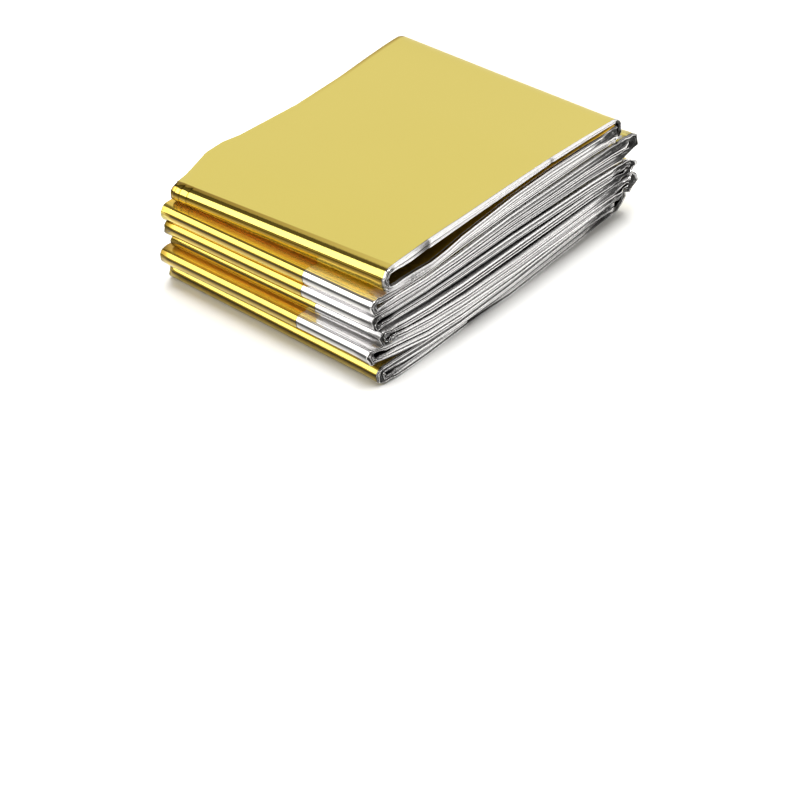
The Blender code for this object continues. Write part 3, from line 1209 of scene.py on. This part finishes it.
class FoilStudioSettings(bpy.types.PropertyGroup):
    """The stage's light and camera."""

    floor: bpy.props.FloatVectorProperty(
        name="Floor", description="Colour of the floor", default=(0.88, 0.88, 0.87),
        subtype="COLOR", size=3,
    )
    surround: bpy.props.FloatVectorProperty(
        name="Surround", description="Colour of the studio between the soft boxes",
        default=(0.16, 0.148, 0.125), subtype="COLOR", size=3,
    )
    lens: bpy.props.FloatProperty(
        name="Lens", description="Focal length in millimetres", default=217.35,
        unit="CAMERA",
    )
    distance: bpy.props.FloatProperty(
        name="Distance", description="From the camera to the pack", default=1.578,
        subtype="DISTANCE", unit="LENGTH",
    )


class FOIL_OT_film(bpy.types.Operator):
    """Fold the film into the pack"""

    bl_idname = "foil.film"
    bl_label = "Fold the film"

    def execute(self, context):
        settings = context.scene.foil_film
        film = Film(settings.width / MM, settings.band / MM, settings.thickness / MM)
        mesh = film_mesh(film)
        for name, colour, shade, painted_shade_tint, painted_glows in (
            ("gold_film", settings.gold, GOLD_MOTTLE, PAINTED_SHADE_GOLD, {"deep": PAINTED_GAP_GLOW}),
            ("silver_film", settings.silver, SILVER_MOTTLE, PLAIN, {"warm": PAINTED_GOLD_ON_SILVER}),
        ):
            finish = film_finish(name, tuple(colour), settings.roughness, shade, painted_shade_tint, painted_glows)
            mesh.materials.append(finish)
        piece = bpy.data.objects.new("foil_film", mesh)
        context.scene.collection.objects.link(piece)
        skin = piece.modifiers.new("thickness", "SOLIDIFY")
        skin.thickness = settings.thickness
        skin.offset = 0.0
        skin.material_offset = 1
        skin.material_offset_rim = 1
        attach(piece, "root")
        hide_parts("foil_blanket")
        return {"FINISHED"}


class FOIL_OT_stage(bpy.types.Operator):
    """Lay the floor, and set up the lights and the camera"""

    bl_idname = "foil.stage"
    bl_label = "Set up the studio"

    def execute(self, context):
        settings = context.scene.foil_studio
        scene = context.scene
        shape = bmesh.new()
        bmesh.ops.create_grid(shape, x_segments=4, y_segments=4, size=FLOOR_HALF)
        mesh = bpy.data.meshes.new("floor")
        shape.to_mesh(mesh)
        shape.free()
        mesh.materials.append(floor_finish(tuple(settings.floor)))
        floor = bpy.data.objects.new("floor", mesh)
        scene.collection.objects.link(floor)
        for row in SOFT_BOXES:
            soft_box(row, Vector(LIT_POINT))
        world = bpy.data.worlds.new("studio")
        world.use_nodes = True
        shade = tuple(settings.surround) + (1.0,)
        world.node_tree.nodes["Background"].inputs["Color"].default_value = shade
        scene.world = world
        scene.view_settings.view_transform = "Standard"
        studio_camera(settings.lens, settings.distance)
        return {"FINISHED"}


class FOIL_PT_panel(bpy.types.Panel):
    """The blanket's operators and settings"""

    bl_idname = "FOIL_PT_panel"
    bl_label = "Foil blanket"
    bl_space_type = "VIEW_3D"
    bl_region_type = "UI"
    bl_category = "Foil blanket"

    def draw(self, context):
        layout = self.layout
        for settings, operator in (
            (context.scene.foil_film, FOIL_OT_film),
            (context.scene.foil_studio, FOIL_OT_stage),
        ):
            box = layout.box()
            for name in settings.__annotations__:
                box.prop(settings, name)
            box.operator(operator.bl_idname)


CLASSES = (FoilFilmSettings, FoilStudioSettings, FOIL_OT_film, FOIL_OT_stage, FOIL_PT_panel)


def register():
    for item in CLASSES:
        bpy.utils.register_class(item)
    bpy.types.Scene.foil_film = bpy.props.PointerProperty(type=FoilFilmSettings)
    bpy.types.Scene.foil_studio = bpy.props.PointerProperty(type=FoilStudioSettings)


def unregister():
    del bpy.types.Scene.foil_studio
    del bpy.types.Scene.foil_film
    for item in reversed(CLASSES):
        bpy.utils.unregister_class(item)


def main():
    register()
    bpy.ops.foil.stage()
    bpy.ops.foil.film()


if __name__ == "__main__":
    main()
